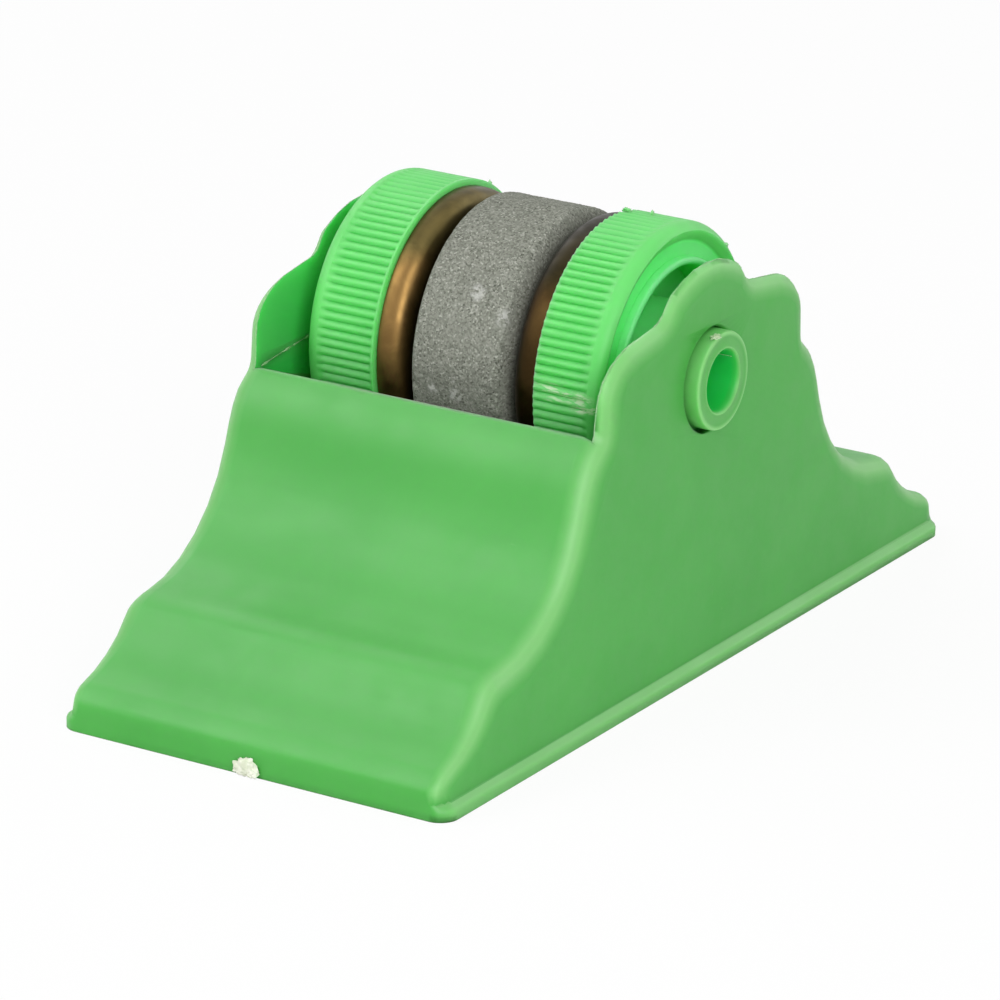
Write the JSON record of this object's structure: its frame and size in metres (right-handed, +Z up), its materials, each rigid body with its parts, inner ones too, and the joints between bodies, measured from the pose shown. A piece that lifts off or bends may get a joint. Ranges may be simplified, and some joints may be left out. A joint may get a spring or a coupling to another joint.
{
  "type": "roller knife sharpener",
  "caption": "Free-standing roller knife sharpener: a hollow moulded stand with scalloped cheeks holds a turning stone wheel between brass cups and knurled drums.",
  "frame": {"origin": "centre of the stand's footprint, on the plane it rests on", "axes": "+Z up, X along the axle, Y along the stand's length with the ramps at -Y and +Y"},
  "size_m": [0.0574, 0.1242, 0.0564],
  "materials": {
    "stand_green": "satin moulded plastic, leaf green",
    "drum_green": "satin moulded plastic, lighter mint green",
    "brass": "pressed brass, dull polish",
    "grit": "gritty bonded abrasive, matt grey"
  },
  "bodies": {
    "stand": {"base_shell": "stand_green"},
    "roller": {"axle_tube": "stand_green", "grindstone": "grit", "cup_left": "brass", "cup_right": "brass", "drum_left": "drum_green", "drum_right": "drum_green"}
  },
  "joints": [
    {"name": "roller_spin", "type": "hinge", "parent": "stand", "child": "roller", "pos_m": [0, 0, 0.0378], "axis": [1, 0, 0], "continuous": true}
  ]
}
